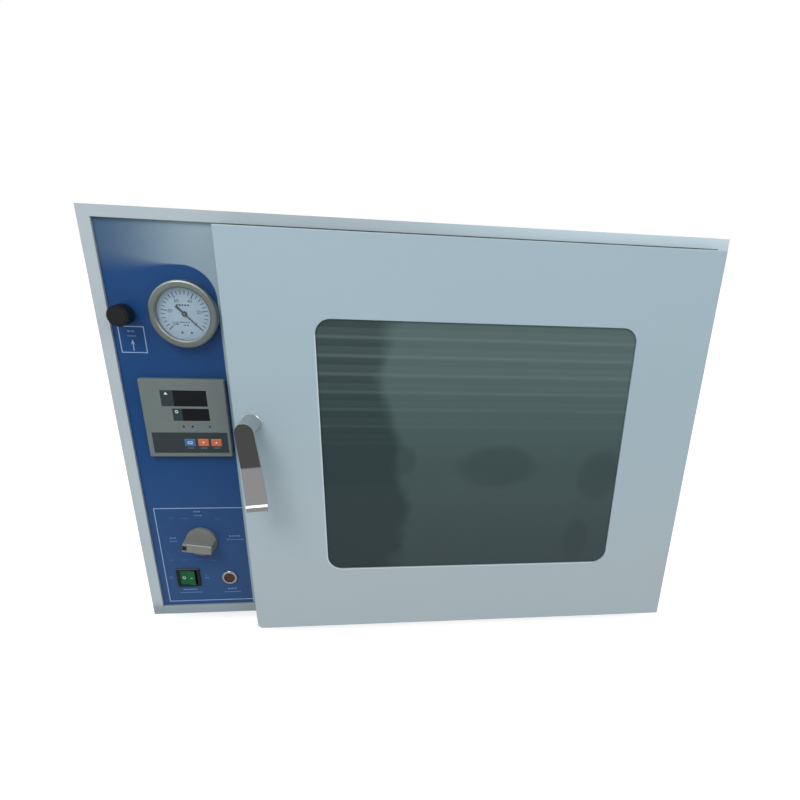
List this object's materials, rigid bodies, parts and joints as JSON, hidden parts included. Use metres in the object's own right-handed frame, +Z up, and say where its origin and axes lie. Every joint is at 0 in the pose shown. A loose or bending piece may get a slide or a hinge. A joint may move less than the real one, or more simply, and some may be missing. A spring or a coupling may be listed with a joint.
{
  "type": "vacuum oven",
  "caption": "Bench vacuum drying oven: steel cabinet, wide windowed door with lever handle on the right, blue control column with gauge, controller, knobs and rocker switch.",
  "frame": {"origin": "on the ground, at the middle of the whole oven's footprint, handle and rear hose nozzle included", "axes": "+Z up, +X to the user's right along the width, -Y out of the door"},
  "size_m": [0.735, 0.556, 0.535],
  "materials": {
    "white_sheet": "fine powder coat",
    "grey_sheet": "powder coat",
    "door_paint": "smooth powder coat",
    "panel_blue": "printed film",
    "steel": "brushed stainless",
    "black_rubber": "matt",
    "silicone": "soft silicone",
    "wool": "mineral wool",
    "mat": "silicone heating mat",
    "brass": "turned",
    "chrome": "polished",
    "tinted_glass": "tinted toughened glass",
    "clear_glass": "toughened glass",
    "dial_white": "printed dial",
    "bezel_metal": "satin",
    "black_plastic": "moulded",
    "grey_plastic": "moulded",
    "knob_grey": "moulded",
    "smoked": "smoked window",
    "key_blue": "soft key",
    "key_orange": "soft key",
    "rocker_green": "translucent green",
    "lens_red": "dark red lens",
    "zinc": "zinc plated",
    "pointer_black": "black"
  },
  "bodies": {
    "cabinet": {"outer_cover": "white_sheet", "base_pan": "grey_sheet", "rear_cover": "grey_sheet", "cover_screws": "zinc", "feet": "black_rubber", "control_panel": "grey_sheet", "panel_overlay": "panel_blue", "front_panel": "grey_sheet", "latch_catch": "steel", "chamber_flange": "steel", "door_seal": "silicone", "chamber": "steel", "support_rails": "zinc", "heating_mats": "mat", "insulation": "wool", "temperature_probe": "steel", "shelf_rails": "steel", "lower_shelf": "steel", "upper_shelf": "steel", "manifold": "steel", "gauge_tube": "steel", "vent_tube": "steel", "valve_tube": "steel", "pump_tube": "steel", "pump_nozzle": "steel", "gauge_bezel": "bezel_metal", "gauge_glass": "clear_glass", "gauge_case": "bezel_metal", "gauge_dial": "dial_white", "vent_valve": "brass", "vacuum_valve": "brass", "controller_bezel": "grey_plastic", "display_windows": "smoked", "controller_case": "black_plastic", "switch_housing": "black_plastic", "lamp_body": "chrome", "lamp_lens": "lens_red", "power_inlet": "black_plastic", "heater_relay": "black_plastic", "hinge_brackets": "zinc"},
    "door": {"door_shell": "door_paint", "window_pane": "tinted_glass", "window_retainer": "zinc", "inner_glass": "clear_glass", "door_frame": "zinc", "door_liner": "steel", "glass_clips": "zinc", "hinge_blocks": "zinc", "hinge_bushes": "brass", "handle_rosette": "chrome", "handle_bush": "brass"},
    "handle": {"handle_lever": "chrome", "latch_shaft": "zinc"},
    "pointer": {"gauge_pointer": "pointer_black"},
    "vent_handwheel": {"vent_knob": "black_plastic"},
    "vacuum_handwheel": {"vacuum_knob": "knob_grey"},
    "rocker_tongue": {"rocker": "rocker_green"},
    "set_button": {"set_key": "key_blue"},
    "down_button": {"down_key": "key_orange"},
    "up_button": {"up_key": "key_orange"}
  },
  "joints": [
    {"name": "door_hinge", "type": "hinge", "parent": "cabinet", "child": "door", "pos_m": [0.3375, -0.214, 0.27], "axis": [0, 0, 1], "range_deg": [0, 110]},
    {"name": "handle_turn", "type": "hinge", "parent": "door", "child": "handle", "pos_m": [-0.2057, -0.244, 0.3094], "axis": [0, -1, 0], "range_deg": [0, 90]},
    {"name": "gauge_swing", "type": "hinge", "parent": "cabinet", "child": "pointer", "pos_m": [-0.2732, -0.194, 0.4266], "axis": [0, -1, 0], "range_deg": [0, 270]},
    {"name": "vent_turn", "type": "hinge", "parent": "cabinet", "child": "vent_handwheel", "pos_m": [-0.3358, -0.204, 0.425], "axis": [0, -1, 0], "range_deg": [0, 720]},
    {"name": "vacuum_turn", "type": "hinge", "parent": "cabinet", "child": "vacuum_handwheel", "pos_m": [-0.2927, -0.204, 0.1353], "axis": [0, 1, 0], "range_deg": [0, 90]},
    {"name": "power_rock", "type": "hinge", "parent": "cabinet", "child": "rocker_tongue", "pos_m": [-0.3164, -0.189, 0.0802], "axis": [0, 0, 1], "range_deg": [0, 20]},
    {"name": "set_press", "type": "slide", "parent": "cabinet", "child": "set_button", "axis": [0, 1, 0], "range_m": [0, 0.0006], "stiffness_N_per_m": 400},
    {"name": "down_press", "type": "slide", "parent": "cabinet", "child": "down_button", "axis": [0, 1, 0], "range_m": [0, 0.0006], "stiffness_N_per_m": 400},
    {"name": "up_press", "type": "slide", "parent": "cabinet", "child": "up_button", "axis": [0, 1, 0], "range_m": [0, 0.0006], "stiffness_N_per_m": 400}
  ]
}
